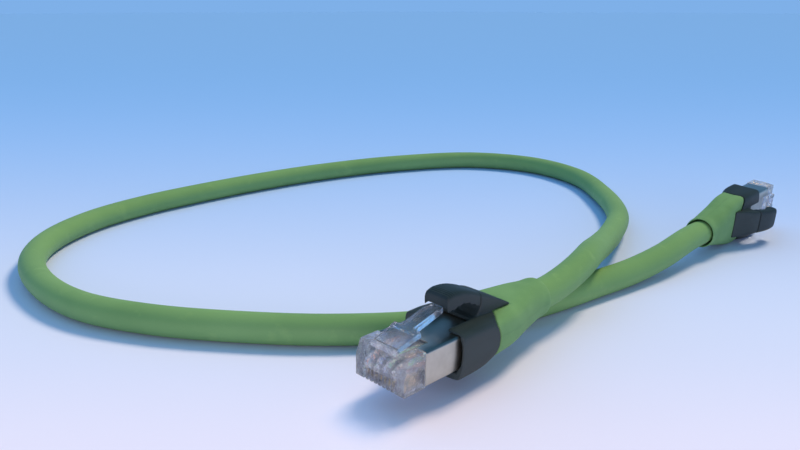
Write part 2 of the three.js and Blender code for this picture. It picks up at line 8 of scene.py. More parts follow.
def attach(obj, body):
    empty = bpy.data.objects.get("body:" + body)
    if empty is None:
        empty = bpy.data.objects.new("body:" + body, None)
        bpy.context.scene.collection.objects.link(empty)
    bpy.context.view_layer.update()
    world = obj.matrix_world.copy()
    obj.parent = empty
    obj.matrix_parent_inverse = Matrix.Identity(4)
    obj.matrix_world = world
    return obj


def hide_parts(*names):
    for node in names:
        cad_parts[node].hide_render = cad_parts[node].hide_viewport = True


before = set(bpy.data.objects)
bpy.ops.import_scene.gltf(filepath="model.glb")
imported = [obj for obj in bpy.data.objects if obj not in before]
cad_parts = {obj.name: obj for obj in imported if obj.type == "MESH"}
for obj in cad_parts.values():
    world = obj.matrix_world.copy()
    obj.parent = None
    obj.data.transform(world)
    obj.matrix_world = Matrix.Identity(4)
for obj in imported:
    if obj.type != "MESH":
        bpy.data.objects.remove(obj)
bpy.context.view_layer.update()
bpy.context.scene.view_settings.view_transform = "Standard"


# ---------------------------------------------------------------- camera
# It stands low over the surface at the plug that points to the left, and looks across the loop.
camera_data = bpy.data.cameras.new("camera")
camera_data.sensor_width = 36
camera_data.lens = 33.75
camera_data.clip_start = 0.005
camera = bpy.data.objects.new("camera", camera_data)
camera.location = (-0.16008, -0.08094, 0.06594)
camera.rotation_euler = Vector((0.6780, 0.6803, -0.2785)).to_track_quat("-Z", "Y").to_euler()
bpy.context.scene.collection.objects.link(camera)
bpy.context.scene.camera = camera


# ---------------------------------------------------------------- surface, backdrop and lamps
# A plain pale sheet runs off into a pale blue distance. Its colour holds painted light: it turns bluer
# and darker away from the camera. A warm light stands to the right, a blue one behind, and a wide lamp
# fills in from the front.
class Sock:
    """One socket of a material's node tree, which can be used in Python arithmetic."""

    def __init__(self, tree, out):
        self.tree = tree
        self.out = out

    def node(self, kind, inputs=None, output=0, **settings):
        """Adds any node, with its settings and inputs, and gives one of its outputs."""
        node = self.tree.nodes.new(kind)
        for key, value in settings.items():
            setattr(node, key, value)
        for key, value in (inputs or {}).items():
            join(self.tree, value, node.inputs[key])
        return Sock(self.tree, node.outputs[output])

    def maths(self, operation, *values):
        return self.node("ShaderNodeMath", dict(enumerate(values)), operation=operation)

    def __add__(self, other):
        return self.maths("ADD", self, other)

    def __sub__(self, other):
        return self.maths("SUBTRACT", self, other)

    def __mul__(self, other):
        return self.maths("MULTIPLY", self, other)

    def __truediv__(self, other):
        return self.maths("DIVIDE", self, other)

    def __radd__(self, other):
        return self.maths("ADD", other, self)

    def __rsub__(self, other):
        return self.maths("SUBTRACT", other, self)

    def __rmul__(self, other):
        return self.maths("MULTIPLY", other, self)

    def __rtruediv__(self, other):
        return self.maths("DIVIDE", other, self)

    def ramp(self, low, high):
        """0 below low, 1 above high, smooth in between."""
        values = {"Value": self, "From Min": low, "From Max": high}
        return self.node("ShaderNodeMapRange", values, interpolation_type="SMOOTHSTEP")

    def mix(self, first, second):
        """Goes from the first colour to the second as this value goes from 0 to 1."""
        values = {0: self, 6: colour(first), 7: colour(second)}
        return self.node("ShaderNodeMix", values, 2, data_type="RGBA")

    def stretch(self, x, y, z):
        values = {0: self, 1: (x, y, z)}
        return self.node("ShaderNodeVectorMath", values, operation="MULTIPLY")

    def noise(self, scale, detail=3.0, roughness=0.5):
        values = {"Vector": self, "Scale": scale, "Detail": detail, "Roughness": roughness}
        return self.node("ShaderNodeTexNoise", values)

    def bump(self, strength, distance, under=None):
        values = {"Height": self, "Strength": strength, "Distance": distance}
        if under is not None:
            values["Normal"] = under
        return self.node("ShaderNodeBump", values)

    def axis(self, index):
        return self.node("ShaderNodeSeparateXYZ", {0: self}, index)


def join(tree, value, slot):
    """Links a socket into a node's slot, or sets a plain value on it."""
    if isinstance(value, Sock):
        tree.links.new(value.out, slot)
    else:
        slot.default_value = value


def colour(value):
    """An sRGB colour written 0 to 255 becomes a linear one; a socket stays as it is."""
    if isinstance(value, Sock):
        return value
    linear = [c / 255 / 12.92 if c <= 10 else ((c / 255 + 0.055) / 1.055) ** 2.4 for c in value]
    return (*linear, 1.0)


def new_material(name, **constants):
    """A material, its shader, and the object coordinates in millimetres to start its arithmetic from."""
    material = bpy.data.materials.new(name)
    material.use_nodes = True
    tree = material.node_tree
    shader = tree.nodes["Principled BSDF"]
    for key, value in constants.items():
        shader.inputs[key.replace("_", " ")].default_value = value
    coordinates = tree.nodes.new("ShaderNodeTexCoord")
    place = Sock(tree, coordinates.outputs["Object"]).stretch(1000, 1000, 1000)
    return material, shader, place


def surface_and_backdrop():
    floor_data = bpy.data.meshes.new("surface")
    reach = 9.0
    corners = [(-reach, -reach, 0), (reach, -reach, 0), (reach, reach, 0), (-reach, reach, 0)]
    floor_data.from_pydata(corners, [], [(0, 1, 2, 3)])
    floor = bpy.data.objects.new("surface", floor_data)
    bpy.context.scene.collection.objects.link(floor)
    material, shader, place = new_material("surface sheet", Roughness=0.6, Specular_IOR_Level=0.0)
    away = place.axis(0) * 0.7058 + place.axis(1) * 0.7079 + 170.3
    eye_height, nearest = 66, 90
    nearness = eye_height / away.maths("MAXIMUM", away, nearest)
    # Painted light: the sheet goes from lavender white near the camera to the backdrop's blue far away,
    # standing in for the blue backdrop's light on it.
    tone = nearness.ramp(0.0, 0.2).mix((130, 178, 234), (133, 184, 247))
    tone = nearness.ramp(0.07, 0.46).mix(tone, (206, 219, 252))
    tone = nearness.ramp(0.40, 0.68).mix(tone, (226, 226, 253))
    join(material.node_tree, tone, shader.inputs["Base Color"])
    floor_data.materials.append(material)

    world = bpy.data.worlds.new("distance")
    bpy.context.scene.world = world
    world.use_nodes = True
    tree = world.node_tree
    shader = tree.nodes["Background"]
    start = Sock(tree, tree.nodes.new("ShaderNodeTexCoord").outputs["Generated"])
    height = start.axis(2)
    horizon, overhead, light_from_all_round = (127, 176, 232), (50, 96, 132), (105, 151, 174)
    seen = height.ramp(0.03, 0.5).mix(horizon, overhead)
    ray = tree.nodes.new("ShaderNodeLightPath")
    camera_ray, glossy_ray, through_ray = (
        Sock(tree, ray.outputs[name]) for name in ("Is Camera Ray", "Is Glossy Ray", "Is Transmission Ray"))
    shown = camera_ray.maths("MAXIMUM", camera_ray, glossy_ray)
    shown = shown.maths("MAXIMUM", shown, through_ray)
    join(tree, shown.mix(light_from_all_round, seen), shader.inputs["Color"])
    shader.inputs["Strength"].default_value = 1.0


def lamp(kind, name, place, aim, power, tint, **settings):
    """A lamp at a place, turned to its aim. Only a wide one is mirrored, so a sun leaves no hard glints."""
    data = bpy.data.lights.new(name, kind)
    data.energy = power
    data.color = tint
    for key, value in settings.items():
        setattr(data, key, value)
    lamp_object = bpy.data.objects.new(name, data)
    lamp_object.location = place
    direction = Vector(aim) - Vector(place)
    lamp_object.rotation_euler = direction.to_track_quat("-Z", "Y").to_euler()
    lamp_object.visible_glossy = kind == "AREA"
    bpy.context.scene.collection.objects.link(lamp_object)


surface_and_backdrop()
lamp(
    "SUN", "warm_light_from_the_right", (0.78, 0.03, 1), (0, 0, 0), 2.87, (1, 0.74, 0.48),
    angle=math.radians(16))
lamp(
    "SUN", "blue_light_from_behind", (0.1, 0.9, 1), (0, 0, 0), 0.75, (0.31, 0.6, 1),
    angle=math.radians(70))
lamp(
    "AREA", "low_fill_from_the_front", (-0.4, -0.4, 0.14), (-0.07, 0, 0.01), 1.05, (1, 0.78, 0.76),
    shape="RECTANGLE", size=0.4, size_y=0.1)


# ---------------------------------------------------------------- cable jacket
# One round green jacket, 6.5 mm thick and 646 mm long, lies in a single loop and passes over itself
# just behind the left plug. It is straight where it enters each boot.
PLUG_POSES = {
    "a": ((-82.5, 2.0, 4.8), 180, -0.4, -1.5),
    "b": ((81.8, 4.3, 8.15), 0, 1.9, 94.5),
}
CABLE_AXIS = 3.498
BOOT_MOUTH = -44.6


def plug_matrix(side):
    """From a plug's own frame, +X out of its nose and +Z to its latch side, to the row frame, in mm."""
    nose, yaw, pitch, roll = PLUG_POSES[side]
    turn = Matrix.Rotation(math.radians(yaw), 4, "Z")
    turn = turn @ Matrix.Rotation(math.radians(-pitch), 4, "Y")
    turn = turn @ Matrix.Rotation(math.radians(roll), 4, "X")
    return Matrix.Translation(nose) @ turn


def curve_through(points, steps):
    """A centripetal spline through the points, as an array of points at even steps along it."""
    points = np.array(points, float)
    first = 2 * points[0] - points[1]
    last = 2 * points[-1] - points[-2]
    padded = np.vstack([first, points, last])
    dense = []
    for i in range(len(points) - 1):
        p0, p1, p2, p3 = padded[i:i + 4]
        t0 = 0.0
        t1 = t0 + np.linalg.norm(p1 - p0) ** 0.5
        t2 = t1 + np.linalg.norm(p2 - p1) ** 0.5
        t3 = t2 + np.linalg.norm(p3 - p2) ** 0.5
        t = np.linspace(t1, t2, 40, endpoint=False)[:, None]
        a1 = (t1 - t) / (t1 - t0) * p0 + (t - t0) / (t1 - t0) * p1
        a2 = (t2 - t) / (t2 - t1) * p1 + (t - t1) / (t2 - t1) * p2
        a3 = (t3 - t) / (t3 - t2) * p2 + (t - t2) / (t3 - t2) * p3
        b1 = (t2 - t) / (t2 - t0) * a1 + (t - t0) / (t2 - t0) * a2
        b2 = (t3 - t) / (t3 - t1) * a2 + (t - t1) / (t3 - t1) * a3
        dense.append((t2 - t) / (t2 - t1) * b1 + (t - t1) / (t2 - t1) * b2)
    dense = np.vstack([*dense, points[-1:]])
    length = np.concatenate([[0], np.cumsum(np.linalg.norm(np.diff(dense, axis=0), axis=1))])
    even = np.linspace(0, length[-1], steps)
    return np.stack([np.interp(even, length, dense[:, k]) for k in range(dense.shape[1])], 1)


def new_object(name, vertices, faces, smooth=True):
    """An object at the origin with a mesh of its own."""
    mesh = bpy.data.meshes.new(name)
    mesh.from_pydata([tuple(v) for v in vertices], [], [tuple(f) for f in faces])
    mesh.validate()
    if smooth:
        mesh.shade_smooth()
    obj = bpy.data.objects.new(name, mesh)
    bpy.context.scene.collection.objects.link(obj)
    return obj


def jacket_material():
    """Matt, slightly waxy green: fine lines from the extruder, faint blotches and a few rubbed patches."""
    material, shader, place = new_material("green jacket", IOR=1.48, Specular_IOR_Level=0.35)
    tree = material.node_tree
    uv = Sock(tree, tree.nodes.new("ShaderNodeUVMap").outputs[0])
    blotch = place.noise(0.035, 4.0)
    rubbed = place.noise(0.22, 5.0, 0.62).ramp(0.56, 0.72)
    lines = uv.stretch(60, 3, 1).noise(9.0, 2.0)
    grain = place.noise(9.0, 3.0)
    tone = blotch.ramp(0.3, 0.7).mix((114, 157, 99), (123, 166, 107))
    tone = (rubbed * 0.2).mix(tone, (148, 188, 116))
    tone = (lines.ramp(0.4, 0.7) * 0.12).mix(tone, (88, 132, 70))
    join(tree, tone, shader.inputs["Base Color"])
    join(tree, 0.46 + blotch * 0.12 + grain * 0.08 - rubbed * 0.06, shader.inputs["Roughness"])
    under = lines.bump(0.12, 0.00015)
    join(tree, grain.bump(0.1, 0.0001, under), shader.inputs["Normal"])
    return material


def cable_jacket():
    radius, sides, steps, pattern_repeats = 3.25, 40, 520, 30
    flat = radius
    a, b = plug_matrix("a"), plug_matrix("b")
    loop = [
        (-27.2, 2.4, 9.15), (-21.4, 3.15, 9.8), (-15.6, 4.5, 10.15), (-8, 7.2, 9.75), (3.5, 11.6, 7.9),
        (22, 18.9, 5.6), (45, 29.7, 4.2), (67.5, 47.8, 3.5), (88, 72, flat), (94.3, 97.7, flat),
        (84.5, 121.9, flat), (56.2, 139, flat), (23.3, 147.9, flat), (-3.4, 150.6, flat),
        (-28.8, 150.4, flat), (-50, 148.3, flat), (-71, 142, flat), (-88, 130.1, flat),
        (-98.2, 115, flat), (-102.7, 95, flat), (-101.6, 76, flat), (-94.6, 59, flat),
        (-83.5, 42.5, flat), (-71, 28, flat), (-56, 15.9, flat), (-41.7, 9.8, flat), (-26, 6.2, flat),
        (-10, 4.1, flat), (3, 2.3, 3.5), (16, 1, 4.6),
    ]
    start = [tuple(a @ Vector((x, 0, CABLE_AXIS))) for x in (-30, -38, BOOT_MOUTH, -48.6)]
    end = [tuple(b @ Vector((x, 0, CABLE_AXIS))) for x in (-51.6, BOOT_MOUTH, -38, -30)]
    line = curve_through([*start, *loop, *end], steps)
    along = np.gradient(line, axis=0)
    along /= np.linalg.norm(along, axis=1)[:, None]
    across = np.cross((0, 0, 1), along)
    across /= np.linalg.norm(across, axis=1)[:, None]
    upward = np.cross(along, across)
    turn = np.arange(sides) / sides * 2 * np.pi
    ring = np.cos(turn)[None, :, None] * across[:, None] + np.sin(turn)[None, :, None] * upward[:, None]
    vertices = (line[:, None] + radius * ring).reshape(-1, 3) / 1000
    faces = []
    for r in range(len(line) - 1):
        for i in range(sides):
            j = (i + 1) % sides
            faces.append((r * sides + i, r * sides + j, (r + 1) * sides + j, (r + 1) * sides + i))
    last = (len(line) - 1) * sides
    faces.append(tuple(reversed(range(sides))))
    faces.append(tuple(range(last, last + sides)))
    jacket = new_object("cable_jacket_tube", vertices, faces)
    uv = jacket.data.uv_layers.new(name="UVMap")
    for face in jacket.data.polygons:
        for loop_index in face.loop_indices:
            vertex = jacket.data.loops[loop_index].vertex_index
            r, i = divmod(vertex, sides)
            seam = 1.0 if i == 0 and face.index % sides == sides - 1 else i / sides
            uv.data[loop_index].uv = (seam, r / steps * pattern_repeats)
    jacket.data.materials.append(jacket_material())
    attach(jacket, "cable")
    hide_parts("cable_jacket")


cable_jacket()


# ---------------------------------------------------------------- boots
# A soft green moulding slides over the cable and the rear of each plug. It is as wide as the hood in
# front, where a wavy seam joins them, and narrows to a round end with a flared mouth for the cable.
HOOD_TOP = 7.1
BRIDGE_FOOT = 7.05


def section(x, half_width, low, high, squareness, count=144):
    """One cross-section: a rounded rectangle that turns into a circle as its squareness falls to 2."""
    turn = np.arange(count) / count * 2 * np.pi
    turn = turn - np.sin(turn * 4) * 0.04 * (min(squareness, 7) - 2)
    power = 2 / squareness
    across = np.sign(np.cos(turn)) * np.abs(np.cos(turn)) ** power
    rise = np.sign(np.sin(turn)) * np.abs(np.sin(turn)) ** power
    x = x(across, rise) if callable(x) else np.full(count, x)
    return np.stack([x, across * half_width, (high + low) / 2 + rise * (high - low) / 2], 1)


def seam(across, rise):
    """Where the hood ends: further back in the middle of each side and of the roof."""
    sides = 1.8 * (1 - rise ** 2) * across ** 2
    return -22.3 - sides - 3.8 * (1 - np.abs(across) ** 3) * np.maximum(0, rise) ** 2


def working_solid(vertices, faces):
    """A closed solid in a plug's own frame, in millimetres, which is used up before the render."""
    return new_object("working_solid", vertices, faces, smooth=False)


def loft(rings, steps=None):
    """A closed solid through rings of equal count, front to rear, smooth along them if steps are given."""
    rings = np.array(rings)
    count = rings.shape[1]
    if steps:
        rings = curve_through(rings.reshape(len(rings), -1), steps).reshape(steps, count, 3)
    faces = []
    for r in range(len(rings) - 1):
        for i in range(count):
            j = (i + 1) % count
            front, rear = r * count, (r + 1) * count
            faces.append((front + i, rear + i, rear + j, front + j))
    centres = len(rings) * count
    last = centres - count
    for i in range(count):
        j = (i + 1) % count
        faces.append((centres, i, j))
        faces.append((centres + 1, last + j, last + i))
    vertices = np.vstack([rings.reshape(-1, 3), rings[0].mean(0), rings[-1].mean(0)])
    return working_solid(vertices, faces)


def stack(layers):
    """A closed solid between flat outlines of equal count, whichever way round they were written."""
    layers = np.array(layers)
    count = layers.shape[1]
    spokes = layers[0] - layers[0, 0]
    onward = layers[-1].mean(0) - layers[0].mean(0)
    if np.cross(spokes, np.roll(spokes, -1, 0)).sum(0) @ onward > 0:
        layers = layers[::-1]
    faces = [tuple(range(count))]
    for r in range(len(layers) - 1):
        near, far = r * count, (r + 1) * count
        faces += [(near + i, far + i, far + (i + 1) % count, near + (i + 1) % count) for i in range(count)]
    faces.append(tuple(reversed(range(count * (len(layers) - 1), count * len(layers)))))
    return working_solid(layers.reshape(-1, 3), faces)


def prism(outline, half_width, shares=(1, -1), fall=None):
    """A side view in x and z, widened to a half width that may follow x.

    fall gives how far a point at height z drops at a share of the half width, for a domed back.
    """
    x, z = np.array(outline, float).T
    width = half_width(x) if callable(half_width) else np.full(len(x), half_width)
    layers = []
    for share in shares:
        drop = fall(z, abs(share)) if fall else 0
        layers.append(np.stack([x, width * share, z - drop], 1))
    return stack(layers)


def plan_prism(outline, low, high):
    """A plan view in x and y, standing from low to high."""
    return stack([[(x, y, z) for x, y in outline] for z in (low, high)])


def block(x_low, x_high, y_low, y_high, z_low, z_high):
    """A box given by its six faces, for rooms, slots and rails."""
    corners = [(x_low, y_low), (x_high, y_low), (x_high, y_high), (x_low, y_high)]
    return plan_prism(corners, z_low, z_high)


def rod(x_low, x_high, radius, y, z, end_radius=None, count=64):
    """A round bar or bore along the plug, which may widen to end_radius at x_low."""
    rings = [section(x_high, radius, -radius, radius, 2, count)]
    end = radius if end_radius is None else end_radius
    rings.append(section(x_low, end, -end, end, 2, count))
    return loft(np.array(rings) + (0, y, z))


def finished(base, *others):
    """Turns the modifiers of a working solid into its own mesh and removes the solids they used."""
    graph = bpy.context.evaluated_depsgraph_get()
    mesh = bpy.data.meshes.new_from_object(base.evaluated_get(graph))
    base.modifiers.clear()
    base.data = mesh
    for other in others:
        bpy.data.objects.remove(other)
    return base


def combined(operation, base, *others):
    """Joins, cuts or keeps what is common, by the boolean operation given."""
    for other in others:
        step = base.modifiers.new("join", "BOOLEAN")
        step.operation = operation
        step.object = other
        step.solver = "EXACT"
    return finished(base, *others)


def softened(base, size, passes):
    """Gives a working solid an even skin with slightly rounded edges, as a moulding has."""
    skin = base.modifiers.new("skin", "REMESH")
    skin.mode = "VOXEL"
    skin.voxel_size = size
    smooth = base.modifiers.new("smooth", "SMOOTH")
    smooth.iterations = passes
    return finished(base)


def bevelled(base, width):
    """Takes the sharpness off a working solid's edges."""
    step = base.modifiers.new("edges", "BEVEL")
    step.width = width
    step.segments = 2
    step.limit_method = "ANGLE"
    step.angle_limit = math.radians(40)
    return finished(base)


def on_both_plugs(base, part, body, material, nodes, sharp=None):
    """Puts a copy of a working solid on each plug in place of its CAD nodes.

    "local" keeps its place in the plug's own frame, and edges past the angle sharp stay sharp.
    """
    for side in "ab":
        mesh = base.data.copy()
        place = np.empty(len(mesh.vertices) * 3, np.float32)
        mesh.vertices.foreach_get("co", place)
        mesh.attributes.new("local", "FLOAT_VECTOR", "POINT").data.foreach_set("vector", place)
        mesh.transform(Matrix.Scale(0.001, 4) @ plug_matrix(side))
        mesh.shade_smooth()
        if sharp:
            mesh.set_sharp_from_angle(angle=math.radians(sharp))
        mesh.materials.clear()
        mesh.materials.append(material)
        obj = bpy.data.objects.new(f"plug_{side}_{part}", mesh)
        bpy.context.scene.collection.objects.link(obj)
        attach(obj, body.format(side))
        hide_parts(*[f"plug_{side}_{node}" for node in nodes])
    bpy.data.objects.remove(base)


def local_place(material):
    """The place in the plug's own frame, in millimetres."""
    tree = material.node_tree
    kept = tree.nodes.new("ShaderNodeAttribute")
    kept.attribute_name = "local"
    return Sock(tree, kept.outputs["Vector"])


def boot_material():
    """Soft matt green: fine grain, faint clouding, paler rubbed ridges and a mould line along each side."""
    material, shader, _ = new_material("green boot", IOR=1.47, Specular_IOR_Level=0.3)
    tree = material.node_tree
    place = local_place(material)
    clouds = place.noise(0.16, 4.0, 0.55)
    grain = place.noise(5.0, 4.0, 0.6)
    scuffs = place.stretch(0.5, 1.6, 1.6).noise(1.1, 5.0, 0.7).ramp(0.6, 0.75)
    height = place.axis(2)
    line = (height - 3.5).maths("ABSOLUTE", height - 3.5).ramp(0.16, 0.02)
    tone = clouds.ramp(0.3, 0.7).mix((106, 149, 97), (116, 159, 106))
    tone = (scuffs * 0.25).mix(tone, (150, 190, 122))
    tone = (line * 0.35).mix(tone, (84, 130, 80))
    join(tree, tone, shader.inputs["Base Color"])
    join(tree, 0.5 + clouds * 0.12 + grain * 0.1 - line * 0.1, shader.inputs["Roughness"])
    under = grain.bump(0.16, 0.0001)
    join(tree, (line + scuffs * 0.2).bump(0.35, 0.00012, under), shader.inputs["Normal"])
    return material


LEVER_FRONT = -13.8


def lever_half_width(x):
    """The lever and the bridge behind it widen evenly from 2.8 mm at the front."""
    return 2.8 + (LEVER_FRONT - x) / 16.6


def boots():
    jacket_bore, flared_mouth, core_bore, bridge_gap = 3.45, 3.9, 3.16, 0.3
    rings = [
        section(lambda across, rise: seam(across, rise) - 0.3, 6.9, -0.95, 6.95, 4.8),
        section(-27.6, 6.85, -0.8, 7.3, 4.3),
        section(-30.6, 6.55, -0.65, 7.4, 3.7),
        section(-34, 5.8, -0.57, 7.6, 3.1),
        section(-38, 4.9, -0.65, 7.75, 2.6),
        section(-41.5, 4.3, -0.6, 7.6, 2.2),
        section(-44.1, 4.1, -0.6, 7.6, 2),
        section(BOOT_MOUTH, 3.8, -0.3, 7.3, 2),
    ]
    shell = loft(rings, 90)
    cutters = [
        rod(BOOT_MOUTH - 1, -29.7, jacket_bore, 0, CABLE_AXIS),
        rod(BOOT_MOUTH - 0.1, -42.1, jacket_bore, 0, CABLE_AXIS, flared_mouth),
        rod(-30, -20, core_bore, 0, CABLE_AXIS),
        prism(
            [(-30.7, BRIDGE_FOOT), (-20, BRIDGE_FOOT), (-20, 9), (-30.7, 9)],
            lambda x: lever_half_width(x) + bridge_gap),
    ]
    boot = softened(combined("DIFFERENCE", shell, *cutters), 0.15, 6)
    on_both_plugs(boot, "boot_moulding", "cable", boot_material(), ["boot"])


boots()


# ---------------------------------------------------------------- hoods
# A hard black moulding grips the rear of the shield. Its flat roof is slotted for the latch, its front
# edge is scooped and bevelled, and a bridge on top carries the press lever.
PAD_LOW = 10.76
HINGE_X = -22.35
DOME_SHARES = (1, 0.97, 0.91, 0.82, 0.7, 0.5, -0.5, -0.7, -0.82, -0.91, -0.97, -1)


def domed(z, share):
    """The backs of the bridge and the lever fall away towards their sides."""
    edge = max(0, share - 0.5) / 0.5
    return 0.75 * (1 - (1 - edge ** 2.6) ** 0.5) * np.clip((z - 8.6) / 2, 0, 1)


def hood_material(name, grey, glow):
    """Satin black with a fine spark-eroded texture, faint flow marks and worn, paler patches."""
    material, shader, _ = new_material(name, IOR=1.5)
    tree = material.node_tree
    place = local_place(material)
    texture = place.noise(7.0, 4.0, 0.65)
    flow = place.stretch(0.3, 1, 1).noise(0.35, 3.0)
    wear = place.noise(0.9, 5.0, 0.7).ramp(0.55, 0.75)
    tone = flow.ramp(0.3, 0.7).mix(grey, glow)
    tone = (wear * 0.25).mix(tone, (70, 78, 82))
    join(tree, tone, shader.inputs["Base Color"])
    join(tree, 0.48 + texture * 0.12 + wear * 0.08 + flow * 0.05, shader.inputs["Roughness"])
    join(tree, texture.bump(0.22, 0.00008), shader.inputs["Normal"])
    return material


def front_edge(across, rise):
    """The front edge lies back all round, but comes forward below."""
    return -12.4 - 1.05 * (1 - np.maximum(0, -rise) ** 2) - 0.3 * across


def hood_ring(x, half_width, low, high, squareness, lean):
    """One cross-section whose flat roof leans a little to one side."""
    ring = section(x, half_width, low, high, squareness)
    ring[:, 2] -= lean * ring[:, 1] * np.clip(ring[:, 2] - CABLE_AXIS, 0, 1)
    return ring


def behind_lip(across, rise):
    """Where the rounded front edge meets the hood's outer face."""
    return front_edge(across, rise) - 0.4


def hoods():
    steps, wide_top = 50, HOOD_TOP + 0.4
    front = hood_ring(front_edge, 6.9, -1.3, HOOD_TOP + 0.3, 9, 0.06)
    rings = [
        hood_ring(behind_lip, 6.97, -1.64, wide_top, 9, 0.06),
        hood_ring(-17, 7.0, -1.55, wide_top, 9, 0.06),
        hood_ring(-20.3, 6.98, -1.35, HOOD_TOP + 0.3, 7.5, 0.04),
        hood_ring(seam, 6.9, -0.95, HOOD_TOP, 5, 0),
    ]
    rear = curve_through([ring.ravel() for ring in rings], steps).reshape(steps, -1, 3)
    bridge_face, bridge_end, bridge_underside = HINGE_X - 0.08, -30.4, 7.15
    bridge_top = curve_through([
        (bridge_face, PAD_LOW + 0.65), (-24.3, PAD_LOW + 0.05), (-26.6, 9.6), (-28.7, 8.4),
        (bridge_end, 7.45)], 24)
    bridge_front = [(-20.6, BRIDGE_FOOT), (-21.4, 7.55), (-22.1, 8.3), (-22.42, 9.3)]
    bridge_below = [(bridge_end, bridge_underside), (-25.4, bridge_underside), (-24.6, BRIDGE_FOOT)]
    bridge = prism([*bridge_front, *bridge_top, *bridge_below], lever_half_width, DOME_SHARES, domed)
    shell = combined("UNION", loft([front, *rear]), bridge)
    bevelled_lip = loft([section(-11, 6.75, -0.75, 6.9, 4.5), section(-15.6, 6.3, 0, 6.7, 4.5)])
    shield_room = block(-20.5, -11.2, -5.96, 5.96, -0.14, 6.67)
    barrel_room = block(-30.5, -20, -5.2, 5.2, 0.5, 6.55)
    latch_slot = block(-19.5, -11.2, -3.25, 3.25, 3.3, 11.4)
    hood = combined("DIFFERENCE", shell, bevelled_lip, shield_room, barrel_room, latch_slot)
    material = hood_material("black hood", (38, 50, 52), (45, 57, 59))
    on_both_plugs(softened(hood, 0.13, 4), "hood_moulding", "cable", material, ["hood"])


hoods()


# ---------------------------------------------------------------- press levers
# The arched lever hangs from the bridge in front of a thin hinge and ends in a ribbed pad over the
# latch. A finger on the pad presses the latch down and the plug comes out.
def press_levers():
    rear, pad_top, rib_pitch = HINGE_X + 0.12, 2.42, 0.45
    back = curve_through([
        (rear, 0.82), (-21.2, 1.24), (-20.2, 1.62), (-18.8, 2.05), (-17.4, 2.32), (-16.3, pad_top)], 30)
    ribs = []
    for i in range(4):
        x = -15.8 + i * rib_pitch
        top = pad_top - 0.05 * i ** 1.6
        ribs += [(x, top), (x + 0.08, top + 0.05), (x + 0.22, top + 0.04), (x + 0.3, top - 0.02)]
    nose = [
        (-14.1, 2.0), (-13.88, 1.7), (LEVER_FRONT, 1.2), (LEVER_FRONT, 0.22), (-13.9, 0.05), (-14.1, 0)]
    arch = curve_through([
        (-15.5, 0.0), (-16.3, 0.25), (-17.2, 0.45), (-18.2, 0.5), (-19.4, 0.2), (-20.7, -0.55)], 30)
    outline = np.array([(rear, -1.45), *back, *ribs, *nose, *arch, (-21.5, -1.15)]) + (0, PAD_LOW)
    lever = softened(prism(outline, lever_half_width, DOME_SHARES, domed), 0.085, 4)
    material = hood_material("black lever", (34, 47, 50), (41, 53, 57))
    on_both_plugs(lever, "lever_moulding", "lever_{}", material, ["press_lever"])


press_levers()


# ---------------------------------------------------------------- clear bodies and latch tabs
# The plug itself is one clear polycarbonate moulding: a nose with eight slots for the contacts, tunnels
# for the wires, a cavity behind them, and a springy latch with raised shoulders and two rails.
BODY_HALF_WIDTH = 5.84
BODY_HEIGHT = 6.6
CONTACT_PITCH = 1.016
WIRE_RADIUS = 0.46


def clear_material(name, clearness, tint, waviness, ripple_scale):
    """Clear plastic with a cast, flow haze and hairline scratches, which lets the lamps through."""
    material, shader, _ = new_material(name, IOR=1.5, Transmission_Weight=clearness)
    tree = material.node_tree
    place = local_place(material)
    haze = place.noise(0.6, 4.0, 0.6)
    ripple = place.noise(ripple_scale, 2.0, 0.6)
    scratches = place.stretch(0.5, 4, 4).noise(3.0, 6.0, 0.75).ramp(0.6, 0.72)
    tone = (haze * 0.5 + ripple * 0.5).ramp(0.42, 0.54).mix(tint, (248, 252, 255))
    join(tree, tone, shader.inputs["Base Color"])
    join(tree, 0.02 + haze * 0.08 + scratches * 0.1, shader.inputs["Roughness"])
    join(tree, (ripple + scratches * 0.1).bump(waviness, 0.00035), shader.inputs["Normal"])
    shadow_ray = Sock(tree, tree.nodes.new("ShaderNodeLightPath").outputs["Is Shadow Ray"])
    passing = shadow_ray.node("ShaderNodeBsdfTransparent", {"Color": colour((237, 241, 248))})
    plastic = Sock(tree, shader.outputs["BSDF"])
    both = shadow_ray.node("ShaderNodeMixShader", {0: shadow_ray, 1: plastic, 2: passing})
    join(tree, both, tree.nodes["Material Output"].inputs["Surface"])
    return material


def wire_place(i):
    """The middle of a wire across the plug: the eight lie at an even pitch, in two rows."""
    return (i - 3.5) * CONTACT_PITCH, 4.092 if i % 2 else 2.904


